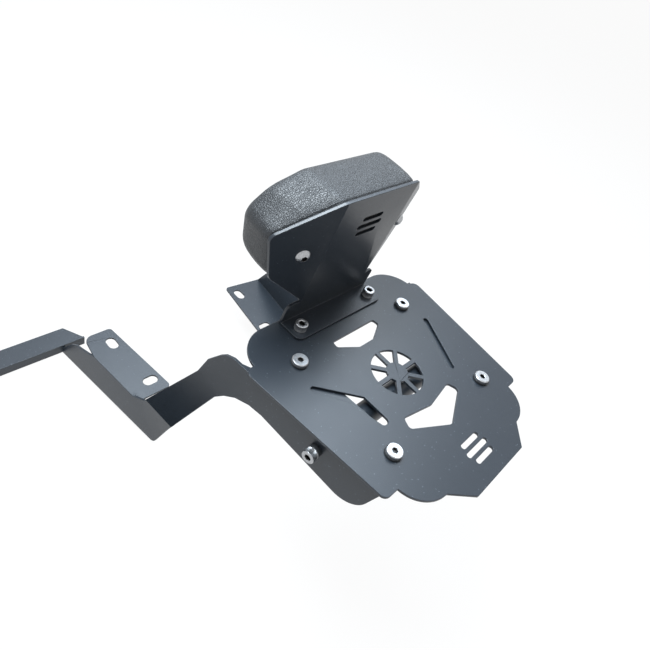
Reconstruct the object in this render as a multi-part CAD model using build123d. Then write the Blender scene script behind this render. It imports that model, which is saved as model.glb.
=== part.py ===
from build123d import *
import math
import os

# Luggage carrier with backrest for a motorbike, built of folded steel sheet.
# Lengths in mm. While building, zero is the middle of the deck's top face:
# +X right, +Y forward to the backrest, +Z up. At the end every piece moves so
# that zero is midway between the two rear fixing slots, under the tabs.

# Sheet, screws and clearances
sheet = 3.0
bore_gap = 0.1
skin_gap = 0.3
screw_d = 8.0
screw_clear_d = 8.6
nut_af = 13.0
nut_h = 6.5
washer_d = 16.0
washer_h = 1.6
thread_out = 2.0
cap_head_d = 13.0
cap_head_h = 8.0
cap_socket_af = 6.0
cap_socket_deep = 4.0
flat_socket_af = 5.0
flat_socket_deep = 2.4

# Side splay shared by deck edge, flanges and side plates, per mm of length
splay = 0.105

# Deck outline
deck_front = (117.8, 112.6)
deck_front_r = 35.0
deck_shoulder = (121.0, 80.5)
deck_edge_x = 124.0
deck_lobe_r = 8.0
deck_waist_y = -82.2
deck_waist_r = 7.0
deck_waist_x = 98.8
deck_tail_bulge = (95.0, -109.0)
deck_tail_r = 34.0
deck_taper = (65.0, -112.2)
deck_tail = (42.1, -131.5)
deck_tail_corner_r = 2.0

# Deck windows
front_window = [(11.0, 43.8, 3.0), (33.0, 55.8, 3.0), (32.0, 62.8, 3.0)]
chevron = [(0.0, -46.3, 6.0), (38.0, -39.8, 4.0), (42.5, -50.8, 4.0), (0.0, -72.6, 7.0)]
strap_slot_w = 6.0
strap_slot_ends = [(92.5, 33.0), (60.3, -31.0)]
step_cut = [
    (-94.6, 31.2, 2.9),
    (-90.0, 35.4, 2.9),
    (-54.2, -2.0, 0.0),
    (-53.2, -34.5, 4.0),
    (-61.8, -34.5, 4.0),
    (-71.2, 1.5, 3.0),
]
rosette_r = 28.0
rosette_hub_r = 12.0
rosette_petals = 8
rosette_web = 5.0
vent_w = 5.0
vent_pitch = 9.0
vent_long = 34.0
vent_step = 6.0
tail_vent_y = -103.0

# Deck screws with collars
deck_screws = [(81.3, 61.0), (76.7, -57.6)]
collar_d = 17.0
collar_h = 2.4
deck_head_d = 16.0
deck_head_h = 2.9
head_chamfer = 0.6

# Side arms, outlines in the Y-Z plane
side_x = 120.0
side_rear_y = -77.0
side_front_top_y = 98.0
side_top_r = 4.0
side_hook_top = [(107.4, -7.0), (113.4, -13.2), (126.0, -31.5)]
side_hook_low = [(97.0, -59.7), (84.3, -48.9), (67.3, -41.7), (52.0, -40.3)]
side_low_rear = (-39.5, -51.0)
side_rear_corner = (-65.0, -53.5)
side_rear_r = 27.0
leg_fold_mid = (121.3, -65.95)
leg_fold_half = 15.55
leg_fold_deg = 28.2
leg_cant = 0.073
foot_x = 108.0
foot_lean = 0.094
foot_front_fold_y = 219.3
foot_rear_fold_y = 172.7
tab_top_z = -227.0
tab_fold_rear_y = 238.0
tab_fold_front_y = 318.0
foot_nose = [(330.0, -232.0), (347.0, -237.0), (357.0, -239.5), (365.0, -246.0), (372.0, -255.0)]
foot_nose_low_z = -268.0
foot_front_y = 381.7
foot_front_z = -277.1
foot_heel = (188.2, -270.6)
foot_heel_r = 9.0

# Flange under the deck, inboard of each side plate
flange_x = 65.0
flange_front_y = 79.5
flange_ear = (122.5, 82.0)
flange_ear_front_y = 96.0
flange_corner_r = 6.0

# Right arm: one broad leg, canted outward, that ends in the tab's bend
broad_leg_cant = -0.03
broad_leg_top = [(92.0, -22.0), (110.0, -40.0)]
broad_leg_nose = (323.0, -200.0)
broad_ear_y = 84.0
broad_tab_front_y = 346.0
broad_fold_front_y = 338.0
broad_front_slot = (109.0, 324.0)

# Foot tabs with two slots each
tab_inner_x = 54.4
tab_inner_slope = 0.125
tab_rear_y = 228.0
tab_front_y = 353.0
tab_outer_front = (136.5, 353.0)
tab_outer_rear = (127.5, 228.0)
tab_corner_r = 5.0
tab_outer_r = 12.0
slot_w = 13.0
slot_long = 20.0
rear_slot = (101.0, 249.0)
front_slot = (110.0, 328.0)

# Front bar welded on the left foot
bar_lip_tall = 14.1
bar_top_z = -263.0
bar_deep = 29.5
bar_inner_x = 120.4
bar_inner_run = 17.0
bar_outer_x = 242.0
bar_corner_r = 3.0

# Cross tube between the side plates
tube_y = -10.0
tube_z = -20.0
tube_d = 24.0
tube_wall = 2.5
plug_long = 22.0
tube_screw_long = 20.0
tube_collar_h = 4.5

# Backrest plate
foot_flange_x = 65.0
foot_flange_rear_y = 80.0
foot_flange_r = 8.0
panel_y = 107.3
panel_lean = 0.095
panel_sheet_y = 3.2
wing_fold_x = 50.0
wing_slope = 0.36
ear_top_z = 27.0
ear_r = 6.0
neck_x = 51.5
neck_foot_x = 50.0
neck_z = 31.0
wing_low = (92.2, 65.1)
wing_low_r = 14.0
wing_wide = (105.8, 115.0)
wing_wide_r = 8.0
wing_top_x = 50.5
panel_top_z = 150.3
wing_top_r = 10.0
foot_screws = (52.7, 92.0)
panel_vent_z = 113.0

# Cushion, its board and its screws
cushion_inset = 2.5
cushion_deep = 52.0
cushion_wing_slope = 0.17
cushion_low_z = 47.0
cushion_edge_r = 5.0
board_inset = 12.0
board_t = 6.0
cushion_screw_in = 36.0
cushion_screw_z = 92.0
button_d = 14.0
button_h = 4.4
cushion_screw_long = 18.0
insert_d = 12.0
insert_flange_d = 20.0
insert_flange_h = 1.5
insert_gap = 0.8

far = 400.0
reach = 20.0
sliver = 0.001
splay_deg = math.degrees(math.atan(splay))
sheet_x = sheet * math.hypot(1.0, splay)
out = {}


def outline(corners):
    """Closed flat outline in X-Y; each corner is x, y and its own radius."""
    count = len(corners)
    starts = []
    ends = []
    mids = []
    for i in range(count):
        here = Vector(corners[i][0], corners[i][1])
        back = Vector(corners[i - 1][0], corners[i - 1][1]) - here
        ahead = Vector(corners[(i + 1) % count][0], corners[(i + 1) % count][1]) - here
        radius = corners[i][2]
        if radius == 0.0:
            starts.append(here)
            ends.append(here)
            mids.append(None)
            continue
        half = math.radians(back.get_angle(ahead)) / 2.0
        run = radius / math.tan(half)
        middle = (back.normalized() + ahead.normalized()).normalized()
        starts.append(here + back.normalized() * run)
        ends.append(here + ahead.normalized() * run)
        mids.append(here + middle * (radius / math.sin(half) - radius))
    edges = []
    for i in range(count):
        if mids[i] is not None:
            edges.append(Edge.make_three_point_arc(starts[i], mids[i], ends[i]))
        following = starts[(i + 1) % count]
        if (following - ends[i]).length > sliver:
            edges.append(Edge.make_line(ends[i], following))
    return Face(Wire(edges))


def both_sides(corners):
    """Outline corners of the right half, closed with their mirror image."""
    mirrored = [(-x, y, r) for x, y, r in reversed(corners) if x != 0.0]
    return list(corners) + mirrored


def along_z(corners, low, high):
    """Solid of an X-Y outline between two heights."""
    return Pos(0, 0, low) * extrude(outline(corners), high - low, dir=(0, 0, 1))


def along_x(corners):
    """Solid of a Y-Z outline, running from the middle far to the right."""
    return Plane.YZ * extrude(outline(corners), far, dir=(0, 0, 1))


def along_y(face):
    """Solid of an X-Z outline given as an X-Y face, running far forward."""
    return Plane.XZ * extrude(face, far, dir=(0, 0, -1))


def slab_x(plane, thickness):
    """Sheet whose outer face is x = a + b y + c z, grown inward along X."""
    corners = []
    for y, z in ((-far, -far), (far + far, -far), (far + far, far), (-far, far)):
        corners.append((plane[0] + plane[1] * y + plane[2] * z, y, z))
    face = Face(Wire.make_polygon(corners))
    return extrude(face, thickness, dir=(-1, 0, 0))


def slab_y(x0, x1, slope, start, thickness):
    """Sheet leaning with the panel between two X values, grown forward along Y."""
    corners = []
    for x, z in ((x0, -far), (x1, -far), (x1, far), (x0, far)):
        fold = max(abs(x) - wing_fold_x, 0.0) * slope
        corners.append((x, panel_y - panel_lean * z + fold + start, z))
    face = Face(Wire.make_polygon(corners))
    return extrude(face, thickness, dir=(0, 1, 0))


def fold_at(first, second, y):
    """Point of the fold between two slanted sheets at a given Y, as (y, z)."""
    flat = first[0] - second[0] + (first[1] - second[1]) * y
    return (y, -flat / (first[2] - second[2]))


def leg_plane(cant):
    """Outer plane of a leg, folded off the side plate along the leg's top line."""
    turn = math.radians(leg_fold_deg)
    shift = cant * (leg_fold_mid[0] * math.sin(turn) - leg_fold_mid[1] * math.cos(turn))
    return (side_x + shift, splay - cant * math.sin(turn), cant * math.cos(turn))


def folded(face, start, thickness):
    """Panel and two wings cut to one upright outline."""
    middle = slab_y(-wing_fold_x, wing_fold_x, 0.0, start, thickness)
    right = slab_y(wing_fold_x, far, wing_slope, start, thickness)
    left = slab_y(-far, -wing_fold_x, wing_slope, start, thickness)
    block = along_y(face)
    return (block & middle) + (block & right) + (block & left)


def slot(width, length):
    """Round-ended slot cutter along X, through far both ways."""
    run = length - width
    body = Box(run, width, 2.0 * far)
    for side in (-0.5, 0.5):
        body += Pos(side * run, 0, 0) * Cylinder(width / 2.0, 2.0 * far)
    return body


def rod(diameter, low, high):
    """Round bar on Z between two heights."""
    middle = (low + high) / 2.0
    return Pos(0, 0, middle) * Cylinder(diameter / 2.0, high - low)


def hexagon(af, low, high):
    """Hexagonal bar on Z between two heights."""
    return Pos(0, 0, low) * extrude(RegularPolygon(af / 2.0, 6, major_radius=False), high - low, dir=(0, 0, 1))


def ring(outer_d, inner_d, low, high):
    """Ring on Z between two heights."""
    return rod(outer_d, low, high) - rod(inner_d, low - sheet, high + sheet)


def nut(low):
    """Hexagon nut hanging below the given height, edges broken by a cone."""
    body = hexagon(nut_af, low - nut_h, low)
    round_off = Cone(nut_af / 2.0, nut_af / 2.0 + reach, reach)
    body = body & Pos(0, 0, low - nut_h + reach / 2.0) * round_off
    return body - rod(screw_d + 2.0 * bore_gap, low - reach, low + reach)


def cap_screw(seat, tip):
    """Socket head cap screw, head seated at one height and shank down to another."""
    top = seat + cap_head_h
    head = rod(cap_head_d, seat, top)
    head = chamfer(head.edges().sort_by(Axis.Z)[-1], head_chamfer)
    body = head + rod(screw_d, tip, seat)
    return body - hexagon(cap_socket_af, top - cap_socket_deep, top + sheet)


def flat_screw(seat, tip):
    """Low flat head screw with a hexagon socket."""
    top = seat + deck_head_h
    head = rod(deck_head_d, seat, top)
    head = chamfer(head.edges().sort_by(Axis.Z)[-1], head_chamfer)
    body = head + rod(screw_d, tip, seat)
    return body - hexagon(flat_socket_af, top - flat_socket_deep, top + sheet)


def button_screw(tip):
    """Button head screw on +Z with its seat at zero."""
    dome_r = (button_d * button_d / 4.0 + button_h * button_h) / (2.0 * button_h)
    dome = Pos(0, 0, button_h - dome_r) * Sphere(dome_r)
    head = dome & rod(far, 0.0, button_h)
    body = head + rod(screw_d, tip, 0.0)
    return body - hexagon(flat_socket_af, button_h - flat_socket_deep, button_h + sheet)


def vents():
    """Cutters of three parallel slots in X-Y, the middle one longest."""
    body = slot(vent_w, vent_long)
    for side in (-1.0, 1.0):
        body += Pos(0, side * vent_pitch, 0) * slot(vent_w, vent_long - vent_step)
    return body


def keep(name, body):
    """Name a finished piece."""
    out[name] = body


def keep_pair(name, body):
    """Name a right-hand piece and its mirror image on the left."""
    keep(f"right_{name}", body)
    keep(f"left_{name}", mirror(body, Plane.YZ))


# Deck plate: outline, windows and screw holes
lobe_x = deck_edge_x + splay * deck_shoulder[1]
waist_x = deck_edge_x + splay * deck_waist_y
deck_half = [
    (*deck_tail, deck_tail_corner_r),
    (*deck_taper, 0.0),
    (*deck_tail_bulge, deck_tail_r),
    (deck_waist_x, deck_waist_y, 0.0),
    (waist_x, deck_waist_y, deck_waist_r),
    (lobe_x, deck_shoulder[1], deck_lobe_r),
    (*deck_shoulder, 0.0),
    (*deck_front, deck_front_r),
]
deck = along_z(both_sides(deck_half), -sheet, 0.0)
deck -= along_z(both_sides(front_window), -far, far)
deck -= along_z(both_sides(chevron), -far, far)
deck -= along_z(step_cut, -far, far)
slot_run = Vector(*strap_slot_ends[0]) - Vector(*strap_slot_ends[1])
slot_mid = (Vector(*strap_slot_ends[0]) + Vector(*strap_slot_ends[1])) / 2.0
slot_turn = math.degrees(math.atan2(slot_run.Y, slot_run.X))
strap_cut = Rot(0, 0, slot_turn) * slot(strap_slot_w, slot_run.length)
deck -= Pos(slot_mid.X, slot_mid.Y, 0) * strap_cut
petals = ring(2.0 * rosette_r, 2.0 * rosette_hub_r, -reach, reach)
for i in range(rosette_petals // 2):
    petals -= Rot(0, 0, 360.0 / rosette_petals * i) * Box(far, rosette_web, far)
deck -= petals
deck -= Pos(0, tail_vent_y, 0) * vents()
for x, y in deck_screws + [foot_screws]:
    for side in (-1.0, 1.0):
        deck -= Pos(side * x, y, 0) * rod(screw_clear_d, -far, far)
keep("deck_plate", deck)

# Both arms, drawn on the right: side plate with a flange under the deck
side = (side_x, splay, 0.0)
fold_cos = math.cos(math.radians(leg_fold_deg))
fold_sin = math.sin(math.radians(leg_fold_deg))
upper_front = (leg_fold_mid[0] + leg_fold_half * fold_cos, leg_fold_mid[1] + leg_fold_half * fold_sin)
upper_rear = (leg_fold_mid[0] - leg_fold_half * fold_cos, leg_fold_mid[1] - leg_fold_half * fold_sin)
tube_seat = Pos(side_x + splay * tube_y, tube_y, tube_z) * Rot(0, 0, -splay_deg) * Rot(0, 90, 0)


def upper_arm(top_pts, ear_y):
    """Side plate with its front top edge, and the flange whose ear ends at ear_y."""
    side_pts = [(side_rear_y, -sheet, 0.0)] + top_pts
    side_pts += [(*upper_front, 0.0), (*upper_rear, 0.0)]
    side_pts += [(y, z, 0.0) for y, z in side_hook_low]
    side_pts += [(*side_low_rear, 0.0), (*side_rear_corner, side_rear_r)]
    flange_pts = [
        (flange_x + splay * side_rear_y, side_rear_y, 0.0),
        (side_x + splay * side_rear_y, side_rear_y, 0.0),
        (side_x + splay * ear_y, ear_y, 0.0),
        (*flange_ear, 0.0),
        (flange_x + splay * flange_front_y, flange_front_y, flange_corner_r),
    ]
    body = along_x(side_pts) & slab_x(side, sheet_x)
    body += along_z(flange_pts, -2.0 * sheet, -sheet)
    for x, y in deck_screws:
        body -= Pos(x, y, 0) * rod(screw_clear_d, -reach, far)
    return body - tube_seat * rod(screw_clear_d, -reach, reach)


tab_rear_inner = (tab_inner_x + tab_inner_slope * tab_rear_y, tab_rear_y, tab_corner_r)

# Left arm: hooked front edge, narrow leg canted inward, foot flange and tab
hook_pts = [(side_front_top_y, -sheet, side_top_r)]
hook_pts += [(y, z, 0.0) for y, z in side_hook_top]
leg = leg_plane(leg_cant)
foot = (foot_x + foot_lean * tab_top_z, splay, -foot_lean)
lower_front = fold_at(leg, foot, foot_front_fold_y)
lower_rear = fold_at(leg, foot, foot_rear_fold_y)
leg_pts = [(*upper_front, 0.0), (*lower_front, 0.0), (*lower_rear, 0.0), (*upper_rear, 0.0)]
foot_pts = [(*lower_rear, 0.0), (*lower_front, 0.0)]
foot_pts += [(tab_fold_rear_y, tab_top_z, 0.0), (tab_fold_front_y, tab_top_z, 0.0)]
foot_pts += [(y, z, 0.0) for y, z in foot_nose]
foot_pts += [(foot_front_y, foot_nose_low_z, 0.0), (foot_front_y, foot_front_z, 0.0)]
foot_pts += [(*foot_heel, foot_heel_r)]
left_arm = upper_arm(hook_pts, flange_ear_front_y) + (along_x(leg_pts) & slab_x(leg, sheet_x))
left_arm += along_x(foot_pts) & slab_x(foot, sheet_x)
tab_pts = [
    tab_rear_inner,
    (*tab_outer_rear, tab_corner_r),
    (foot_x + splay * tab_fold_rear_y, tab_fold_rear_y, 0.0),
    (foot_x + splay * tab_fold_front_y, tab_fold_front_y, 0.0),
    (*tab_outer_front, tab_outer_r),
    (tab_inner_x + tab_inner_slope * tab_front_y, tab_front_y, tab_corner_r),
]
left_arm += along_z(tab_pts, tab_top_z - sheet, tab_top_z)
left_arm -= Pos(*rear_slot, 0) * slot(slot_w, slot_long)
left_arm -= Pos(*front_slot, 0) * Rot(0, 0, 90) * slot(slot_w, slot_long)
keep("left_arm", mirror(left_arm, Plane.YZ))

# Right arm: one broad leg down to the bend of a wider tab
broad_top_pts = [(broad_ear_y, -sheet, 0.0)]
broad_top_pts += [(y, z, 0.0) for y, z in broad_leg_top]
broad_leg = leg_plane(broad_leg_cant)
broad_pts = [
    (*upper_front, 0.0),
    (*broad_leg_nose, 0.0),
    (broad_fold_front_y, tab_top_z, 0.0),
    (broad_fold_front_y, tab_top_z - sheet, 0.0),
    (tab_rear_y, tab_top_z - sheet, 0.0),
    (*upper_rear, 0.0),
]
broad_rear_x = broad_leg[0] + broad_leg[1] * tab_rear_y + broad_leg[2] * tab_top_z
broad_front_x = broad_leg[0] + broad_leg[1] * broad_fold_front_y + broad_leg[2] * tab_top_z
broad_tab_pts = [
    tab_rear_inner,
    (broad_rear_x, tab_rear_y, 0.0),
    (broad_front_x, broad_fold_front_y, 0.0),
    (tab_inner_x + tab_inner_slope * broad_tab_front_y, broad_tab_front_y, tab_corner_r),
]
right_arm = upper_arm(broad_top_pts, broad_ear_y) + (along_x(broad_pts) & slab_x(broad_leg, sheet_x))
right_arm += along_z(broad_tab_pts, tab_top_z - sheet, tab_top_z)
right_arm -= Pos(*rear_slot, 0) * slot(slot_w, slot_long)
right_arm -= Pos(*broad_front_slot, 0) * Rot(0, 0, 90) * slot(slot_w, slot_long)
keep("right_arm", right_arm)

# Front bar on the left foot: folded strip, lip down at the rear edge
bar_rear_y = foot_front_y
bar_front_y = foot_front_y + bar_deep
bar_pts = [
    (bar_inner_x, bar_rear_y, 0.0),
    (bar_outer_x, bar_rear_y, 0.0),
    (bar_outer_x, bar_front_y, bar_corner_r),
    (bar_inner_x + bar_inner_run, bar_front_y, bar_corner_r),
]
bar = along_z(bar_pts, bar_top_z - sheet, bar_top_z)
lip_long = bar_outer_x - bar_inner_x
lip_mid_x = (bar_outer_x + bar_inner_x) / 2.0
lip_at = Pos(lip_mid_x, bar_rear_y + sheet / 2.0, bar_top_z - bar_lip_tall / 2.0)
bar += lip_at * Box(lip_long, sheet, bar_lip_tall)
keep("left_front_bar", mirror(bar, Plane.YZ))

# Cross tube with threaded plugs, cut to the splay of the side plates
inner_x = side_x - sheet_x
between = [
    (inner_x - splay * far, -far, 0.0),
    (inner_x + splay * far, far, 0.0),
]
between_plates = along_z(both_sides(between), -far, far)
tube_line = Pos(0, tube_y, tube_z) * Rot(0, 90, 0)
tube = tube_line * ring(tube_d, tube_d - 2.0 * tube_wall, -far, far)
keep("cross_tube", tube & between_plates)
plug_d = tube_d - 2.0 * tube_wall - 2.0 * bore_gap
plug_inner_x = inner_x + splay * tube_y - plug_long
plug = (tube_line * rod(plug_d, plug_inner_x, far)) & between_plates
plug -= tube_seat * rod(screw_d + 2.0 * bore_gap, -far, far)
keep_pair("tube_plug", plug)
keep_pair("tube_collar", tube_seat * ring(cap_head_d, screw_clear_d, 0.0, tube_collar_h))
keep_pair("tube_screw", tube_seat * cap_screw(tube_collar_h, -tube_screw_long))

# Backrest plate: foot flange on the deck, panel leaning back, two wings
foot_flange = [
    (foot_flange_x, foot_flange_rear_y, foot_flange_r),
    (foot_flange_x, panel_y, 0.0),
]
backrest = along_z(both_sides(foot_flange), 0.0, sheet)
low_panel = [(foot_flange_x, 0.0, 0.0), (foot_flange_x, ear_top_z, ear_r), (neck_x, ear_top_z, 0.0)]
wide_slab = slab_y(-far, far, 0.0, 0.0, panel_sheet_y)
backrest += along_y(outline(both_sides(low_panel))) & wide_slab
wing_half = [
    (neck_x, neck_z, 0.0),
    (*wing_low, wing_low_r),
    (*wing_wide, wing_wide_r),
    (wing_top_x, panel_top_z, wing_top_r),
]
neck_foot = [(neck_foot_x, ear_top_z, 0.0)]
wing_face = outline(both_sides(neck_foot + wing_half))
backrest += folded(wing_face, 0.0, panel_sheet_y)
backrest -= Pos(0, panel_y, panel_vent_z) * Rot(90, 0, 0) * vents()
cushion_screw_x = wing_wide[0] - cushion_screw_in
wing_y = panel_y - panel_lean * cushion_screw_z + wing_slope * (cushion_screw_x - wing_fold_x)
wing_normal = Vector(wing_slope, -1.0, -panel_lean).normalized()
wing_seat = Plane(origin=(cushion_screw_x, wing_y, cushion_screw_z), z_dir=wing_normal)
for side_sign in (1.0, -1.0):
    backrest -= Pos(side_sign * foot_screws[0], foot_screws[1], 0) * rod(screw_clear_d, -reach, reach)
wing_hole = wing_seat * rod(screw_clear_d, -reach, reach)
backrest -= wing_hole
backrest -= mirror(wing_hole, Plane.YZ)
keep("backrest_plate", backrest)

# Cushion board behind the padding, resting on the plate
def drawn_in(inset, low_z):
    """Wing outline drawn in by an inset and cut level below."""
    inner = offset(wing_face, -inset)
    return inner & (Pos(0, low_z + far / 2.0) * Rectangle(far, far))


board_face = drawn_in(board_inset, cushion_low_z + board_inset)
board = folded(board_face, panel_sheet_y, board_t)
insert_hole = wing_seat * rod(insert_d + 2.0 * bore_gap, -2.0 * reach, -bore_gap)
board -= insert_hole
board -= mirror(insert_hole, Plane.YZ)
keep("cushion_board", board)

cushion_face = drawn_in(cushion_inset, cushion_low_z)
cushion = folded(cushion_face, panel_sheet_y + skin_gap, far / 2.0)
for x0, x1 in ((-wing_fold_x, wing_fold_x), (wing_fold_x, far), (-far, -wing_fold_x)):
    cushion -= slab_y(x0, x1, cushion_wing_slope, cushion_deep, far)
pocket_face = drawn_in(board_inset - skin_gap, cushion_low_z + board_inset - skin_gap)
cushion -= folded(pocket_face, panel_sheet_y - sheet, board_t + sheet + skin_gap)
pocket_round = wing_seat * rod(insert_flange_d + 2.0 * skin_gap, -cushion_screw_long - sheet, 0.0)
cushion -= pocket_round
cushion -= mirror(pocket_round, Plane.YZ)
keep("backrest_cushion", cushion)

# Cushion screws and the flanged inserts they thread into
seat_depth = sheet + board_t
insert = rod(insert_d, -seat_depth - insert_flange_h, -panel_sheet_y - insert_gap)
insert += rod(insert_flange_d, -seat_depth - insert_flange_h - bore_gap, -seat_depth - bore_gap)
insert -= rod(screw_d + 2.0 * bore_gap, -2.0 * reach, reach)
insert = wing_seat * insert
keep_pair("cushion_insert", insert)
keep_pair("cushion_screw", wing_seat * button_screw(-cushion_screw_long))

# Deck screws with collars, washers and nuts
washer_top = -2.0 * sheet
for row, (x, y) in zip(("front", "rear"), deck_screws):
    for hand, side_sign in (("right", 1.0), ("left", -1.0)):
        at = Pos(side_sign * x, y, 0)
        name = f"{row}_{hand}_deck"
        keep(f"{name}_collar", at * ring(collar_d, screw_clear_d, 0.0, collar_h))
        tip = washer_top - washer_h - nut_h - thread_out
        keep(f"{name}_screw", at * flat_screw(collar_h, tip))
        keep(f"{name}_washer", at * ring(washer_d, screw_clear_d, washer_top - washer_h, washer_top))
        keep(f"{name}_nut", at * nut(washer_top - washer_h))

# Screws through the backrest foot flange and the deck
for hand, side_sign in (("right", 1.0), ("left", -1.0)):
    at = Pos(side_sign * foot_screws[0], foot_screws[1], 0)
    name = f"{hand}_foot"
    tip = -sheet - washer_h - nut_h - thread_out
    keep(f"{name}_screw", at * cap_screw(sheet, tip))
    keep(f"{name}_washer", at * ring(washer_d, screw_clear_d, -sheet - washer_h, -sheet))
    keep(f"{name}_nut", at * nut(-sheet - washer_h))

os.makedirs("parts", exist_ok=True)
to_row = Pos(0, -rear_slot[1], sheet - tab_top_z)
for name, body in out.items():
    export_step(to_row * body, f"parts/{name}.step")
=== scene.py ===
import math

import bmesh
import bpy
import numpy as np
from mathutils import Matrix


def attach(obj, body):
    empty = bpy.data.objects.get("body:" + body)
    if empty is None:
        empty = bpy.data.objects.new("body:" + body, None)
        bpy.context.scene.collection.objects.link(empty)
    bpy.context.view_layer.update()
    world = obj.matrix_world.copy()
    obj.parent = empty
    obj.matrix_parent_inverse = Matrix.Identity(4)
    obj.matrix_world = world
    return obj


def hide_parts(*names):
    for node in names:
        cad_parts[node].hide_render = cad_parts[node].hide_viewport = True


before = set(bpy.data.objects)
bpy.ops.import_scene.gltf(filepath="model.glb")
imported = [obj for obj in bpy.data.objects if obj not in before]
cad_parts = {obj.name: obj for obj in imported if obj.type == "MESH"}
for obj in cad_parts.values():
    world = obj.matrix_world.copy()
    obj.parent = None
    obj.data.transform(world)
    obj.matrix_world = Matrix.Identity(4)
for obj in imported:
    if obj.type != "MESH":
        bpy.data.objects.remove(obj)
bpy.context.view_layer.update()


# Deck, side arms, front bar, backrest plate and cross tube.
# Laser-cut 3 mm steel sheet, folded on a press brake and welded, then given a
# satin black powder coat with a fine skin and a few pale mica specks.
class Signal:
    """A socket's value in a finish, on which + - * > < add Math nodes."""

    def __init__(self, tree, socket=None):
        self.tree = tree
        self.socket = socket

    def node(self, kind, settings=None, values=None, out=0):
        """Adds a node: its settings first, then its sockets' values or links."""
        made = self.tree.nodes.new(kind)
        for name, value in (settings or {}).items():
            setattr(made, name, value)
        for name, value in (values or {}).items():
            if isinstance(value, Signal):
                self.tree.links.new(value.socket, made.inputs[name])
            else:
                made.inputs[name].default_value = value
        if not made.outputs:
            return None
        return Signal(self.tree, made.outputs[out])

    def maths(self, operation, first, second):
        return self.node("ShaderNodeMath", {"operation": operation}, {0: first, 1: second})

    def __add__(self, other):
        return self.maths("ADD", self, other)

    def __radd__(self, other):
        return self.maths("ADD", other, self)

    def __rsub__(self, other):
        return self.maths("SUBTRACT", other, self)

    def __mul__(self, other):
        return self.maths("MULTIPLY", self, other)

    def __rmul__(self, other):
        return self.maths("MULTIPLY", other, self)

    def __gt__(self, other):
        return self.maths("GREATER_THAN", self, other)

    def __lt__(self, other):
        return self.maths("LESS_THAN", self, other)

    def blend(self, low, high):
        """Colour between two others, this value being the share of high."""
        ends = [c if isinstance(c, Signal) else (*c, 1.0) for c in (low, high)]
        values = {0: self, 6: ends[0], 7: ends[1]}
        return self.node("ShaderNodeMix", {"data_type": "RGBA"}, values, out=2)

    def noise(self, scale, detail=2.0, roughness=0.5):
        """Soft noise between 0 and 1 at this place, in cells per metre."""
        values = {"Vector": self, "Scale": scale, "Detail": detail, "Roughness": roughness}
        return self.node("ShaderNodeTexNoise", values=values)

    def relief(self, distance, strength):
        """Normal bent by this height, whose full range is distance in metres."""
        values = {"Height": self, "Distance": distance, "Strength": strength}
        return self.node("ShaderNodeBump", values=values)


def new_finish(name):
    """Empty material, its first signal and the place on the object in metres."""
    finish = bpy.data.materials.new(name)
    finish.use_nodes = True
    finish.node_tree.nodes.clear()
    start = Signal(finish.node_tree)
    return finish, start, start.node("ShaderNodeTexCoord", out=3)


def close_finish(start, values):
    """Principled shader with these socket values, on the output."""
    shader = start.node("ShaderNodeBsdfPrincipled", values=values)
    start.node("ShaderNodeOutputMaterial", values={"Surface": shader})


speck_cells = 260.0
speck_reach = 0.08
speck_least_chance = 0.4
coat_dark = (0.014, 0.019, 0.026)
coat_light = (0.020, 0.026, 0.034)
coat_speck = (0.15, 0.18, 0.21)


def powder_coat():
    """Near black coat; cells about 4 mm wide, three in five with a speck."""
    finish, start, place = new_finish("powder_coat")
    cell = {"Vector": place, "Scale": speck_cells}
    near = start.node("ShaderNodeTexVoronoi", values=cell)
    lot = start.node("ShaderNodeTexVoronoi", values=cell, out=1)
    chance = start.node("ShaderNodeSeparateColor", values={"Color": lot})
    speck = (near < speck_reach) * (chance > speck_least_chance)
    colour = place.noise(9.0, 3.0).blend(coat_dark, coat_light)
    skin = place.noise(1300.0, 2.0)
    close_finish(
        start,
        {
            "Base Color": speck.blend(colour, coat_speck),
            "Roughness": 0.28 + 0.10 * place.noise(45.0, 4.0, 0.6),
            "Specular IOR Level": 0.45,
            "Normal": skin.relief(0.00006, 1.0),
        },
    )
    return finish


coat = powder_coat()
cut_edge_r = 0.00045
weld_within = 0.000002
level_within_deg = 0.5
sharp_from_deg = 32.0


def dressed_copy(node):
    """Welded copy of a CAD node's mesh, its flat faces joined into one."""
    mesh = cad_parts[node].data.copy()
    mesh.name = f"dressed_{node}"
    mesh.materials.clear()
    shape = bmesh.new()
    shape.from_mesh(mesh)
    bmesh.ops.remove_doubles(shape, verts=shape.verts, dist=weld_within)
    level = math.radians(level_within_deg)
    bmesh.ops.dissolve_limit(shape, angle_limit=level, verts=shape.verts, edges=shape.edges)
    shape.to_mesh(mesh)
    shape.free()
    return mesh


def finish_piece(mesh, node, material, soften=cut_edge_r, smooth_below=sharp_from_deg):
    """Piece in a CAD node's place, riding on the one body of this part."""
    mesh.materials.append(material)
    mesh.polygons.foreach_set("use_smooth", np.ones(len(mesh.polygons), bool))
    mesh.set_sharp_from_angle(angle=math.radians(smooth_below))
    piece = bpy.data.objects.new(f"dressed_{node}", mesh)
    bpy.context.scene.collection.objects.link(piece)
    if soften > 0.0:
        edges = piece.modifiers.new("broken_edges", "BEVEL")
        edges.limit_method = "ANGLE"
        edges.angle_limit = math.radians(sharp_from_deg)
        edges.width = soften
        edges.segments = 2
        edges.use_clamp_overlap = False
        edges.harden_normals = True
    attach(piece, "root")
    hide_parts(node)
    return piece


sheets = ("deck_plate", "left_arm", "right_arm", "left_front_bar", "backrest_plate", "cross_tube")
for node in sheets:
    finish_piece(dressed_copy(node), node, coat)


# Screws, washers and nuts.
# Turned stainless screws with hexagon sockets, the tall ones knurled round the
# head; black spacer collars; plated washers and nuts under the sheet.
turn_steps = 96
mm = 0.001
cap_run = 0.002


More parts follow.
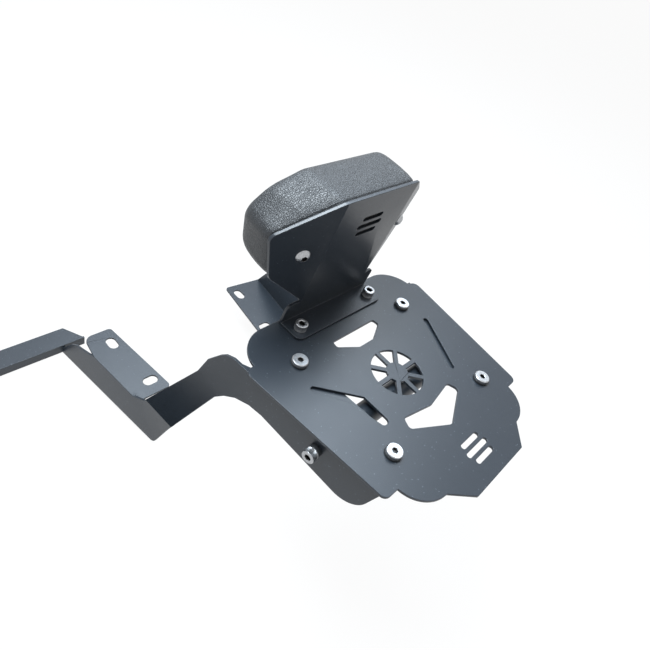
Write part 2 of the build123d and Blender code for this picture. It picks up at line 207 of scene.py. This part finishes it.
def turned(name, rows, seat, axis, bored=False):
    """Turned part on an axis, one row of points for each (height, radius, hex, rib).

    A point at angle a stands at seat + height axis + r (u cos a + v sin a),
    with r = radius (1 - hex + hex / cos b) - rib (a's step is odd), b being
    the angle from the nearest flat. A bored part joins its last row to its
    first, any other part closes at both ends in a point."""
    rows = np.array(rows, float) * (mm, mm, 1.0, mm)
    axis = np.array(axis, float) / np.linalg.norm(axis)
    aside = np.array((0.0, 0.0, 1.0)) if abs(axis[2]) < 0.9 else np.array((1.0, 0.0, 0.0))
    across = np.cross(aside, axis)
    across /= np.linalg.norm(across)
    along = np.cross(axis, across)
    step = np.arange(turn_steps)
    angle = step * 2.0 * math.pi / turn_steps
    from_flat = np.mod(angle + math.pi / 6.0, math.pi / 3.0) - math.pi / 6.0
    height, radius, hexed, rib = (rows[:, i, None] for i in range(4))
    r = radius * (1.0 - hexed + hexed / np.cos(from_flat)) - rib * (step % 2)
    spoke = np.cos(angle)[:, None] * across + np.sin(angle)[:, None] * along
    points = np.array(seat) * mm + height[:, :, None] * axis + r[:, :, None] * spoke
    points = points.reshape(-1, 3)
    count = len(rows)
    last = count if bored else count - 1
    k = np.repeat(np.arange(last), turn_steps)
    j = np.tile(step, last)
    ahead = (j + 1) % turn_steps
    above = (k + 1) % count
    here = k * turn_steps
    there = above * turn_steps
    quads = np.stack((here + j, there + j, there + ahead, here + ahead), 1)
    u = np.stack((j, j, j + 1, j + 1), 1) / turn_steps
    lengths = np.hypot(np.diff(rows[:, 0]), np.diff(rows[:, 1]))
    run = np.concatenate(([0.0], np.cumsum(lengths)))
    run = np.append(run, run[-1] + mm)
    v = np.stack((run[k], run[k + 1], run[k + 1], run[k]), 1)
    faces = quads.tolist()
    uv = np.stack((u, v), 2).reshape(-1, 2)
    if not bored:
        ends = np.stack((points[:turn_steps].mean(0), points[-turn_steps:].mean(0)))
        points = np.vstack((points, ends))
        nose = np.full(turn_steps, count * turn_steps)
        turn = (step + 1) % turn_steps
        first = np.stack((nose, step, turn), 1)
        base = (count - 1) * turn_steps
        final = np.stack((nose + 1, base + turn, base + step), 1)
        faces += first.tolist() + final.tolist()
        cap_u = np.stack((step, step, step + 1), 1) / turn_steps
        for inner, outer in ((-cap_run, 0.0), (run[count - 1] + cap_run, run[count - 1])):
            cap_v = np.tile((inner, outer, outer), (turn_steps, 1))
            uv = np.vstack((uv, np.stack((cap_u, cap_v), 2).reshape(-1, 2)))
    mesh = bpy.data.meshes.new(name)
    mesh.from_pydata(points.tolist(), [], faces)
    mesh.uv_layers.new(name="lathe").data.foreach_set("uv", uv.ravel())
    mesh.update()
    return mesh


def turned_steel(name, dark, light, rough, socket_shade_run=0.0):
    """Turned metal: fine rings that follow the lathe, soft stains, and sockets painted near black
    as the shade down in them.
    """
    finish, start, place = new_finish(name)
    lathe = start.node("ShaderNodeUVMap", {"uv_map": "lathe"})
    drawn_out = {"Vector": lathe, "Scale": (5.0, 6000.0, 1.0)}
    stretched = start.node("ShaderNodeMapping", values=drawn_out)
    rings = stretched.noise(1.0, 3.0)
    run = start.node("ShaderNodeSeparateXYZ", values={"Vector": lathe}, out=1)
    stained = place.noise(700.0, 4.0).blend(dark, light)
    close_finish(
        start,
        {
            # Down the socket the colour turns near black: painted shade in the hollow of the hex
            # socket.
            "Base Color": (run < socket_shade_run).blend(stained, (0.05, 0.05, 0.05)),
            "Metallic": 1.0,
            "Roughness": rough + 0.16 * place.noise(500.0, 3.0),
            "Normal": rings.relief(0.00002, 0.5),
        },
    )
    return finish


steel_dark = (0.22, 0.23, 0.24)
steel_light = (0.62, 0.63, 0.65)
# The bright screws get painted shade in their sockets over the first 2.1 mm of the lathe run.
bright_steel = turned_steel("bright_steel", steel_dark, steel_light, 0.27, 0.0021)
zinc = turned_steel("zinc_plate", (0.46, 0.48, 0.50), (0.62, 0.64, 0.66), 0.30)


def black_collar():
    """Satin black turned aluminium of the spacers, a little finer than the coat."""
    finish, start, place = new_finish("black_collar")
    colour = place.noise(60.0, 3.0).blend((0.018, 0.020, 0.022), (0.030, 0.032, 0.035))
    close_finish(
        start,
        {
            "Base Color": colour,
            "Roughness": 0.28 + 0.14 * place.noise(300.0, 3.0),
            "Normal": place.noise(1500.0, 2.0).relief(0.00002, 0.5),
        },
    )
    return finish


collar_black = black_collar()


def thread(start_z, tip_z):
    """Rows of a screw's shank: plain neck, then 1.25 mm ridges down to the tip."""
    pitch = 1.25
    neck = 0.8
    crest_r = 4.0
    root_r = 3.45
    rows = [(start_z, crest_r, 0.0, 0.0), (start_z - neck, crest_r, 0.0, 0.0)]
    turns = int((start_z - neck - tip_z - neck) / pitch)
    for i in range(turns):
        top = start_z - neck - i * pitch
        rows += [(top - 0.45 * pitch, root_r, 0.0, 0.0), (top - 0.6 * pitch, root_r, 0.0, 0.0)]
        rows += [(top - pitch, crest_r, 0.0, 0.0)]
    return rows + [(tip_z + 0.5, 3.5, 0.0, 0.0), (tip_z, 3.0, 0.0, 0.0)]


def socket(top, half_af, deep, land):
    """Rows of a hexagon socket, from its floor up to the land round its mouth."""
    return [
        (top - deep, half_af, 1.0, 0.0),
        (top - 0.5, half_af, 1.0, 0.0),
        (top, half_af + 0.6, 0.6, 0.0),
        (top, land, 0.0, 0.0),
    ]


def flat_head(tip):
    """Low flat head on its seat at zero, 16 mm across."""
    rows = socket(2.9, 2.5, 2.4, 3.9)
    rows += [(2.9, 7.2, 0, 0), (2.75, 7.45, 0, 0), (2.2, 7.95, 0, 0)]
    return rows + [(1.95, 8.0, 0, 0), (0.2, 8.0, 0, 0), (0.0, 7.8, 0, 0)] + thread(0.0, tip)


def cap_head(tip):
    """Tall knurled head on its seat at zero, 13 mm across."""
    rows = socket(8.0, 3.0, 4.0, 4.3)
    rows += [(8.0, 5.75, 0, 0), (7.9, 6.0, 0, 0), (7.45, 6.45, 0, 0)]
    rows += [(7.2, 6.5, 0, 0), (6.9, 6.5, 0, 0.3), (1.3, 6.5, 0, 0.3), (1.0, 6.5, 0, 0)]
    return rows + [(0.2, 6.5, 0, 0), (0.0, 6.3, 0, 0)] + thread(0.0, tip)


def button_head(tip):
    """Domed head 14 mm across; height falls as sqrt(R R - r r) from the crown."""
    crown = 4.4
    dome_r = (7.0**2 + crown**2) / (2.0 * crown)
    rows = socket(crown, 2.5, 2.4, 3.0)[:2]
    rows += [(3.98, 2.72, 1.0, 0.0)]
    for r in (3.3, 4.1, 4.9, 5.6, 6.2, 6.6, 6.85):
        rows.append((crown - dome_r + math.sqrt(dome_r**2 - r**2), r, 0.0, 0.0))
    return rows + [(0.25, 6.95, 0, 0), (0.0, 6.8, 0, 0)] + thread(0.0, tip)


def ring_rows(low, high, outer_r, bore_r, break_r):
    """Rows of a ring between two heights, its outer edges broken."""
    return [
        (high, bore_r, 0.0, 0.0),
        (high, outer_r - break_r, 0.0, 0.0),
        (high - break_r, outer_r, 0.0, 0.0),
        (low + break_r, outer_r, 0.0, 0.0),
        (low, outer_r - break_r, 0.0, 0.0),
        (low, bore_r, 0.0, 0.0),
    ]


nut_rows = [
    (0.0, 4.1, 0.0, 0.0),
    (0.0, 6.5, 0.98, 0.0),
    (-0.1, 6.5, 1.0, 0.0),
    (-5.7, 6.5, 1.0, 0.0),
    (-6.15, 6.5, 0.6, 0.0),
    (-6.5, 6.4, 0.0, 0.0),
    (-6.5, 4.4, 0.0, 0.0),
    (-6.2, 4.1, 0.0, 0.0),
]
deck_top = 230.0
collar_h = 2.4
tube_collar_h = 4.5
flange_top = deck_top + 3.0
under_arm = deck_top - 6.0
under_deck = deck_top - 3.0
washer_h = 1.6
seats = {"front": (81.3, -188.0), "rear": (76.7, -306.6), "foot": (52.7, -157.0)}
tube_seat = (118.95, -259.0, 210.0)
tube_axis = (1.0, -0.105, 0.0)
wing_seat = (69.8, -143.31, 322.0)
wing_axis = (0.36, -1.0, -0.095)
upright = (0.0, 0.0, 1.0)

collar_rows = ring_rows(0.0, collar_h, 8.5, 4.3, 0.3)
tube_collar_rows = ring_rows(0.0, tube_collar_h, 6.5, 4.3, 0.3)
washer_rows = ring_rows(-washer_h, 0.0, 8.0, 4.3, 0.2)

for hand, side in (("right", 1.0), ("left", -1.0)):
    turned_parts = []
    for row in ("front", "rear"):
        x, y = seats[row]
        x *= side
        name = f"{row}_{hand}_deck"
        turned_parts += [
            (f"{name}_collar", collar_rows, (x, y, deck_top), upright, collar_black),
            (f"{name}_screw", flat_head(-18.5), (x, y, deck_top + collar_h), upright, bright_steel),
            (f"{name}_washer", washer_rows, (x, y, under_arm), upright, zinc),
            (f"{name}_nut", nut_rows, (x, y, under_arm - washer_h), upright, zinc),
        ]
    x, y = seats["foot"]
    x *= side
    turned_parts += [
        (f"{hand}_foot_screw", cap_head(-16.1), (x, y, flange_top), upright, bright_steel),
        (f"{hand}_foot_washer", washer_rows, (x, y, under_deck), upright, zinc),
        (f"{hand}_foot_nut", nut_rows, (x, y, under_deck - washer_h), upright, zinc),
    ]
    at = np.array(tube_seat) * (side, 1.0, 1.0)
    out = np.array(tube_axis) * (side, 1.0, 1.0)
    head_at = at + tube_collar_h * out / np.linalg.norm(out)
    turned_parts += [
        (f"{hand}_tube_collar", tube_collar_rows, at, out, collar_black),
        (f"{hand}_tube_screw", cap_head(-24.5), head_at, out, bright_steel),
    ]
    at = np.array(wing_seat) * (side, 1.0, 1.0)
    out = np.array(wing_axis) * (side, 1.0, 1.0)
    turned_parts.append((f"{hand}_cushion_screw", button_head(-18.0), at, out, bright_steel))
    for name, rows, at, out, material in turned_parts:
        bored = material is not bright_steel
        mesh = turned(name, rows, at, out, bored)
        finish_piece(mesh, name, material, soften=0.0, smooth_below=30.0)

for node in ("left_tube_plug", "right_tube_plug", "left_cushion_insert", "right_cushion_insert"):
    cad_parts[node].data.materials.clear()
    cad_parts[node].data.materials.append(zinc)


# Backrest cushion and the board behind it.
# Foam moulded on a fibre board, covered in black grained leatherette that is
# pulled round the rim to the back and fixed from behind with two screws.
pad_back = np.array(
    [
        (71.0, 47.0, 6.0),
        (92.2, 65.1, 14.0),
        (105.8, 115.0, 9.0),
        (78.3, 133.0, 9.0),
        (50.5, 150.3, 10.0),
    ]
)
pad_front = np.array(
    [
        (71.0, 57.0, 12.0),
        (89.5, 65.1, 34.0),
        (98.6, 113.0, 20.0),
        (80.4, 136.4, 46.0),
        (51.5, 150.6, 22.0),
    ]
)
pad_deep = 58.0
pad_crown = 0.8
pad_from_plate = 3.5
plate_y = 107.3
plate_lean = 0.095
fold_x = 50.0
fold_soft = 8.0
wing_slope = 0.36
front_slope = 0.17
keel_x = 45.0
keel_z = 98.0
row_origin = (0.0, -249.0, 230.0)
arc_steps = 14
edge_steps = 26


def pad_rim(share, inset):
    """Rounded outline of the pad as points in X and Z, its right corners mirrored.

    Each corner lies a share of the way from its place on the back to its
    place on the front. Its arc has its centre where the two edges beside it
    meet once both are moved in by inset + radius, and runs over the normals
    between them; between arcs the edge is straight."""
    right = pad_back + (pad_front - pad_back) * share
    whole = np.vstack((right, (right * (-1.0, 1.0, 1.0))[::-1]))
    corners = whole[:, :2]
    radii = whole[:, 2]
    ahead = np.roll(corners, -1, 0) - corners
    ahead /= np.linalg.norm(ahead, axis=1)[:, None]
    outward = np.stack((ahead[:, 1], -ahead[:, 0]), 1)
    before = np.roll(outward, 1, 0)
    half = np.arccos(np.clip((outward * before).sum(1), -1.0, 1.0)) / 2.0
    middle = outward + before
    middle /= np.linalg.norm(middle, axis=1)[:, None]
    centre = corners - middle * ((inset + radii) / np.cos(half))[:, None]
    start = np.arctan2(before[:, 1], before[:, 0])
    angle = start[:, None] + 2.0 * half[:, None] * np.linspace(0.0, 1.0, arc_steps)
    arc = centre[:, None, :] + radii[:, None, None] * np.stack((np.cos(angle), np.sin(angle)), 2)
    along = np.linspace(0.0, 1.0, edge_steps)[1:-1]
    tail = arc[:, -1, None, :]
    nose = np.roll(arc[:, 0], -1, 0)[:, None, :]
    run = tail + (nose - tail) * along[None, :, None]
    return np.concatenate((arc, run), 1).reshape(-1, 2)


def pad_depth(x, z, front, slope, soft):
    """Y of a face of the pad: leans with height, falls away past the folds.

    The fall is slope (sqrt(p p + soft soft) - soft), p being how far X lies
    past a fold."""
    past = np.maximum(np.abs(x) - fold_x, 0.0)
    past = np.sqrt(past**2 + soft**2) - soft
    return plate_y - plate_lean * z + slope * past + front


def cushion_mesh():
    """Closed pad: rows of rims from the middle of the back to the middle of the front.

    Back rows shrink the back rim to a narrow flat face, which closes it; wall
    rows run from the back face to the front face with a seam groove and a
    rounded front edge; front rows shrink the front rim and crown towards the
    middle, where a narrow flat face closes it too."""

    def drawn(rim, share):
        """Rim drawn towards the pad's own middle line."""
        keel = np.stack((np.clip(rim[:, 0], -keel_x, keel_x), np.full(len(rim), keel_z)), 1)
        return keel + (rim - keel) * share

    rims = []
    rim = pad_rim(0.0, 6.0)
    for share in (0.05, 0.3, 0.6, 0.85, 0.96):
        flat = drawn(rim, share)
        y = pad_depth(flat[:, 0], flat[:, 1], pad_from_plate, wing_slope, 0.0)
        rims.append(np.stack((flat[:, 0], y, flat[:, 1]), 1))
    wall = [
        (5.0, 0.000),
        (3.8, 0.008),
        (3.0, 0.022),
        (2.8, 0.034),
        (2.9, 0.042),
        (3.7, 0.050),
        (3.7, 0.056),
        (2.7, 0.066),
        (2.2, 0.09),
        (1.7, 0.14),
        (1.1, 0.21),
        (0.7, 0.30),
        (0.4, 0.40),
        (0.25, 0.50),
        (0.2, 0.60),
        (0.25, 0.69),
        (0.4, 0.77),
        (0.8, 0.84),
        (1.4, 0.895),
        (2.3, 0.94),
        (3.6, 0.972),
        (5.4, 0.992),
        (8.0, 1.000),
    ]
    for inset, share in wall:
        rim = pad_rim(share, inset)
        back = pad_depth(rim[:, 0], rim[:, 1], pad_from_plate, wing_slope, 0.0)
        front = pad_depth(rim[:, 0], rim[:, 1], pad_deep, front_slope, fold_soft)
        y = back + (front - back) * share
        rims.append(np.stack((rim[:, 0], y, rim[:, 1]), 1))
    for share in (0.93, 0.8, 0.65, 0.5, 0.35, 0.18, 0.05):
        flat = drawn(rim, share)
        deep = pad_deep + pad_crown * math.sqrt(1.0 - share)
        y = pad_depth(flat[:, 0], flat[:, 1], deep, front_slope, fold_soft)
        rims.append(np.stack((flat[:, 0], y, flat[:, 1]), 1))
    points = np.array(rims)
    rows, cols = points.shape[:2]
    points = (points.reshape(-1, 3) + row_origin) * mm
    k = np.repeat(np.arange(rows - 1), cols)
    j = np.tile(np.arange(cols), rows - 1)
    ahead = (j + 1) % cols
    here = k * cols
    there = here + cols
    faces = np.stack((here + j, there + j, there + ahead, here + ahead), 1)
    back_middle = list(range(cols))[::-1]
    front_middle = list(range((rows - 1) * cols, rows * cols))
    mesh = bpy.data.meshes.new("cushion")
    mesh.from_pydata(points.tolist(), [], faces.tolist() + [back_middle, front_middle])
    shape = bmesh.new()
    shape.from_mesh(mesh)
    bmesh.ops.recalc_face_normals(shape, faces=shape.faces)
    shape.to_mesh(mesh)
    shape.free()
    return mesh


def leatherette():
    """Black grained cover: winding creases about 2 mm apart over fine pores, the creases painted
    darker as their shade.
    """
    finish, start, place = new_finish("leatherette")
    drift = place.noise(120.0, 2.0)
    sway = {"Vector": place, "Scale": 150.0, "Detail": 2.0}
    swayed = start.node("ShaderNodeTexNoise", values=sway, out=1)
    shift = {0: swayed, 1: (0.005, 0.005, 0.005), 2: place}
    bent = start.node("ShaderNodeVectorMath", {"operation": "MULTIPLY_ADD"}, shift)
    cells = {"Vector": bent, "Scale": 540.0}
    crease = start.node("ShaderNodeTexVoronoi", {"feature": "DISTANCE_TO_EDGE"}, cells)
    groove = crease.maths("MINIMUM", crease * 5.0, 1.0)
    pores = place.noise(2600.0, 3.0)
    height = groove * 0.7 + pores * 0.3
    close_finish(
        start,
        {
            # Colour darker down in the creases: painted shade in the grain.
            "Base Color": groove.blend((0.008, 0.010, 0.012), (0.019, 0.022, 0.026)),
            "Roughness": 0.44 - 0.08 * groove + 0.06 * drift,
            "Specular IOR Level": 0.5,
            "Normal": height.relief(0.00026, 1.0),
        },
    )
    return finish


cover = leatherette()
pad = cushion_mesh()
cushion = finish_piece(pad, "backrest_cushion", cover, soften=0.0, smooth_below=70.0)
cushion.name = "cushion"


def fibre_board():
    """Dull black pressed board with short fibres."""
    finish, start, place = new_finish("fibre_board")
    colour = place.noise(400.0, 4.0).blend((0.02, 0.02, 0.02), (0.05, 0.048, 0.045))
    close_finish(
        start,
        {
            "Base Color": colour,
            "Roughness": 0.7,
            "Normal": place.noise(900.0, 3.0).relief(0.0001, 0.5),
        },
    )
    return finish


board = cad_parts["cushion_board"]
board.data.materials.clear()
board.data.materials.append(fibre_board())


# Floor, room and light: a flat white floor in an evenly lit white room, a wide
# soft box overhead and a smaller one just above the cushion.
seen_white = 0.93
floor_z = -0.0475
floor_half = 30.0


def seen_rays(start):
    """1 for rays from the camera and for mirror and glass rays, else 0."""
    rays = [start.node("ShaderNodeLightPath", out=i) for i in (0, 3, 6)]
    most = rays[0].maths("MAXIMUM", rays[0], rays[1])
    return most.maths("MAXIMUM", most, rays[2])


def flat_mesh(name, x0, x1, y0, y1, z):
    """One level rectangle between two X, two Y, at one height."""
    mesh = bpy.data.meshes.new(name)
    mesh.from_pydata([(x0, y0, z), (x1, y0, z), (x1, y1, z), (x0, y1, z)], [], [(0, 1, 2, 3)])
    return mesh


floor_mesh = flat_mesh("floor", -floor_half, floor_half, -floor_half, floor_half, floor_z)
floor = bpy.data.objects.new("floor", floor_mesh)
bpy.context.scene.collection.objects.link(floor)
floor_finish, start, place = new_finish("floor")
paint = place.noise(0.8).blend((0.90, 0.90, 0.90), (0.92, 0.92, 0.92))
matt = start.node("ShaderNodeBsdfDiffuse", values={"Color": paint})
white = {"Color": (1.0, 1.0, 1.0, 1.0), "Strength": 1.0}
glow = start.node("ShaderNodeEmission", values=white)
seen = seen_rays(start) * seen_white
both = start.node("ShaderNodeMixShader", values={0: seen, 1: matt, 2: glow})
start.node("ShaderNodeOutputMaterial", values={"Surface": both})
floor_mesh.materials.append(floor_finish)

room = bpy.data.worlds.new("room")
room.use_nodes = True
room.node_tree.nodes.clear()
start = Signal(room.node_tree)
shade = seen_rays(start).blend((0.42, 0.43, 0.44), (1.0, 1.0, 1.0))
sky = start.node("ShaderNodeBackground", values={"Color": shade, "Strength": 1.0})
start.node("ShaderNodeOutputWorld", values={"Surface": sky})
bpy.context.scene.world = room


def soft_box(name, target, toward, distance, size, energy, colour):
    """Area lamp that stands off a target in a direction and faces it."""
    toward = np.array(toward) / np.linalg.norm(toward)
    lamp = bpy.data.lights.new(name, "AREA")
    lamp.shape = "RECTANGLE"
    lamp.size, lamp.size_y = size
    lamp.energy = energy
    lamp.color = colour
    stand = bpy.data.objects.new(name, lamp)
    side = np.cross((0.0, 0.0, 1.0), toward)
    side /= np.linalg.norm(side)
    up = np.cross(toward, side)
    place = np.array(target) + distance * toward
    rows = [[side[i], up[i], toward[i], place[i]] for i in range(3)]
    stand.matrix_world = Matrix(rows + [[0, 0, 0, 1]])
    bpy.context.scene.collection.objects.link(stand)


deck_middle = (-0.05, -0.22, 0.2)
pad_middle = (-0.05, -0.13, 0.36)
blue_white = (0.76, 0.88, 1.0)
pale_white = (0.84, 0.93, 1.0)
size_over = (1.5, 1.2)
size_beyond = (0.6, 0.6)
soft_box("soft_box_over", deck_middle, (0.40, 0.37, 0.84), 1.9, size_over, 40.0, blue_white)
soft_box("soft_box_beyond", pad_middle, (-0.2, 0.36, 0.91), 1.0, size_beyond, 26.0, pale_white)

# A small black card low on the left, seen only in the left leg's sheen.
card_mesh = flat_mesh("black_card", -0.215, -0.122, -0.12, 0.0, 0.02)
card = bpy.data.objects.new("black_card", card_mesh)
bpy.context.scene.collection.objects.link(card)
card_finish, start, place = new_finish("black_card")
felt = start.node("ShaderNodeBsdfDiffuse", values={"Color": (0.01, 0.01, 0.01, 1.0)})
start.node("ShaderNodeOutputMaterial", values={"Surface": felt})
card_mesh.materials.append(card_finish)
card.visible_camera = False
card.visible_diffuse = False
card.visible_shadow = False
card.visible_transmission = False

lens = bpy.data.cameras.new("camera")
lens.sensor_width = 36.0
lens.lens = 29.737
lens.clip_start = 0.01
camera = bpy.data.objects.new("camera", lens)
camera.matrix_world = Matrix(
    [
        [0.677989, 0.352730, -0.644912, -0.3768985],
        [-0.673013, 0.650695, -0.351638, -0.3580379],
        [0.295608, 0.672441, 0.678556, 0.6023539],
        [0.0, 0.0, 0.0, 1.0],
    ]
)
bpy.context.scene.collection.objects.link(camera)
bpy.context.scene.camera = camera
bpy.context.scene.view_settings.view_transform = "Standard"
